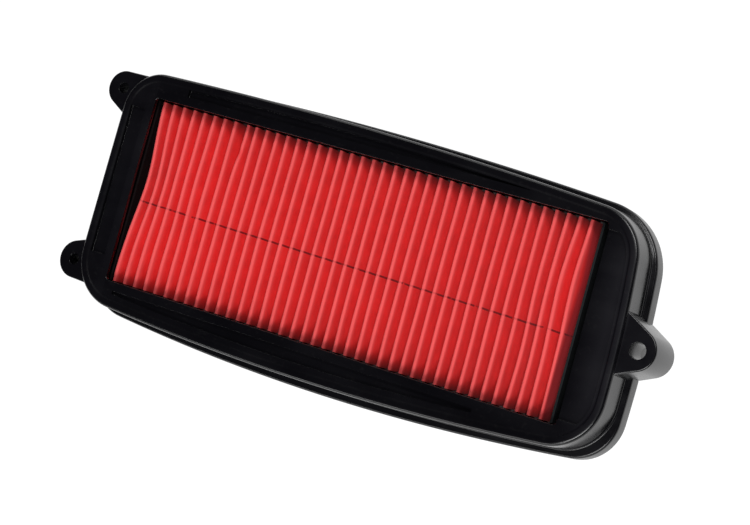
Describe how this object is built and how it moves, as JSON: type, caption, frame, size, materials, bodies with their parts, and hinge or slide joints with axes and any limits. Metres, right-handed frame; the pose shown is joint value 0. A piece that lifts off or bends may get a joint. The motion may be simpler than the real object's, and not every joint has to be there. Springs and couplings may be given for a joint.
{
  "type": "air filter",
  "caption": "Flat panel air filter for a motorcycle air box: a pleated paper pack in a moulded plastic frame with one bolt ear and two hollow lugs.",
  "frame": {"origin": "bottom centre of the whole filter, on the plane of the seal's underside", "axes": "+X runs along the panel towards the bolt ear, +Y across it towards the straighter long edge, and +Z from the clean side to the dirty side"},
  "size_m": [0.261, 0.1073, 0.0235],
  "materials": {
    "front_plastic": "semi-gloss moulded black",
    "rear_plastic": "semi-gloss moulded black",
    "seal_rubber": "moulded black rubber, dull",
    "screen_steel": "galvanised",
    "filter_paper": "oiled red filter paper, soft sheen",
    "end_card": "dark grey card",
    "adhesive": "cured adhesive, satin"
  },
  "bodies": {
    "root": {"front_frame": "front_plastic", "rear_frame": "rear_plastic", "rim_seal": "seal_rubber", "support_screen": "screen_steel", "pleated_media": "filter_paper", "end_band_left": "end_card", "end_band_right": "end_card", "bond_bead_end": "adhesive", "bond_bead_upper": "adhesive", "bond_bead_lower": "adhesive"}
  },
  "joints": []
}
